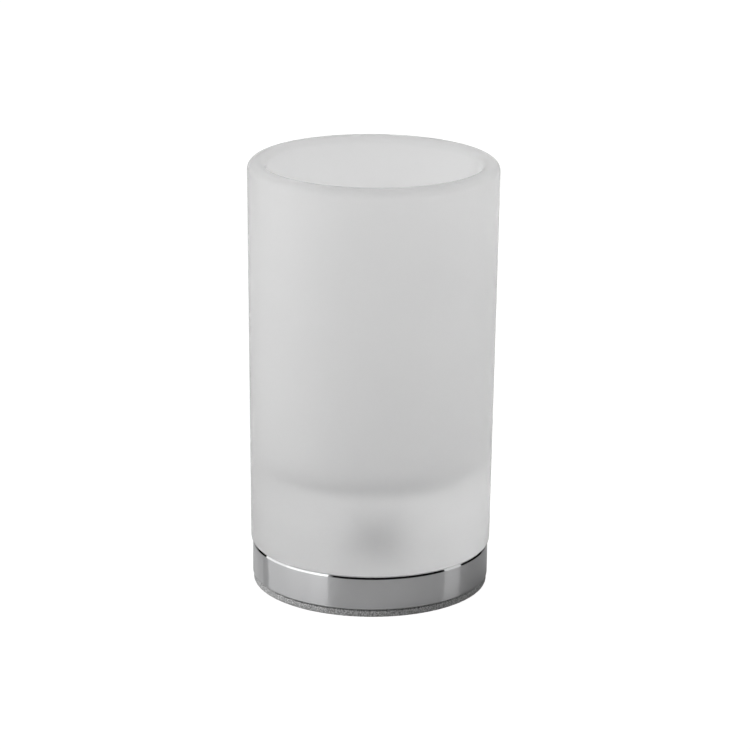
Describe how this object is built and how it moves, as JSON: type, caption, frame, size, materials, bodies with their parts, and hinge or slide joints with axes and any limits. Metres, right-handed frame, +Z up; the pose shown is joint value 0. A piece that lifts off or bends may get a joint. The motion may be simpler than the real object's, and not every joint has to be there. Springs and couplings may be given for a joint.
{
  "type": "tumbler holder",
  "caption": "Free-standing bathroom tumbler holder: a frosted glass tumbler with a thick solid bottom that lifts off a round spigot on a low polished metal foot with an anti-slip pad.",
  "frame": {"origin": "middle of the anti-slip pad's underside, on the surface the holder stands on", "axes": "+Z up, along the common axis of the foot, the spigot and the tumbler; the part is round, so +X and +Y are free"},
  "size_m": [0.068, 0.068, 0.1185],
  "materials": {
    "satin_glass": "acid-etched satin, inside and out",
    "polished_chrome": "bright chrome plate on turned brass",
    "grained_rubber": "matt, fine pebbled grain",
    "clear_silicone": "milky clear, matt",
    "stainless_steel": "fine turned",
    "grey_nylon": "moulded, matt",
    "spring_steel": "blackened, oiled",
    "zinc_plated_steel": "bright zinc plate"
  },
  "bodies": {
    "foot": {"metal_base": "polished_chrome", "anti_slip_pad": "grained_rubber", "seat_washer": "clear_silicone", "spigot_stud": "stainless_steel", "lock_washer": "spring_steel", "stud_nut": "zinc_plated_steel"},
    "bush": {"spigot_bush": "grey_nylon"},
    "tumbler": {"glass_tumbler": "satin_glass"}
  },
  "joints": [
    {"name": "bush_turn", "type": "hinge", "parent": "foot", "child": "bush", "pos_m": [0, 0, 0.0158], "axis": [0, 0, 1], "continuous": true},
    {"name": "tumbler_lift", "type": "slide", "parent": "bush", "child": "tumbler", "axis": [0, 0, 1], "range_m": [0, 0.025]}
  ]
}
